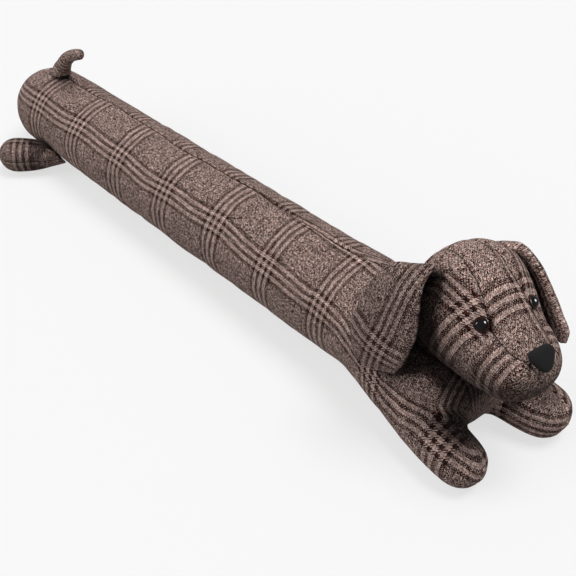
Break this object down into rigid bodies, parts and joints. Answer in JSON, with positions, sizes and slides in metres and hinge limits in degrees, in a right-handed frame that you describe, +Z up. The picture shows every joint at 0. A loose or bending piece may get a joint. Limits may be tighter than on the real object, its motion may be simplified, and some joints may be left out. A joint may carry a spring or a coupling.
{
  "type": "draught excluder",
  "caption": "Long stuffed dog in checked wool cloth that lies along the foot of a door to stop draughts, with floppy ears, splayed legs and a short tail.",
  "frame": {"origin": "on the floor, in the middle of the belly's flat strip", "axes": "+X from the tail to the head, +Y to the dog's left, +Z up"},
  "size_m": [0.9586, 0.216, 0.2479],
  "materials": {
    "checked_wool": "brushed wool-blend twill in a brown and oatmeal glen check",
    "eye_plastic": "polished, near black with a dark brown rim",
    "nose_cloth": "matt black plain cloth"
  },
  "bodies": {
    "root": {"body": "checked_wool", "hind_leg_right": "checked_wool", "hind_leg_left": "checked_wool", "tail": "checked_wool", "head": "checked_wool", "ear_right": "checked_wool", "ear_left": "checked_wool", "eye_right": "eye_plastic", "eye_left": "eye_plastic", "nose": "nose_cloth"}
  },
  "joints": []
}
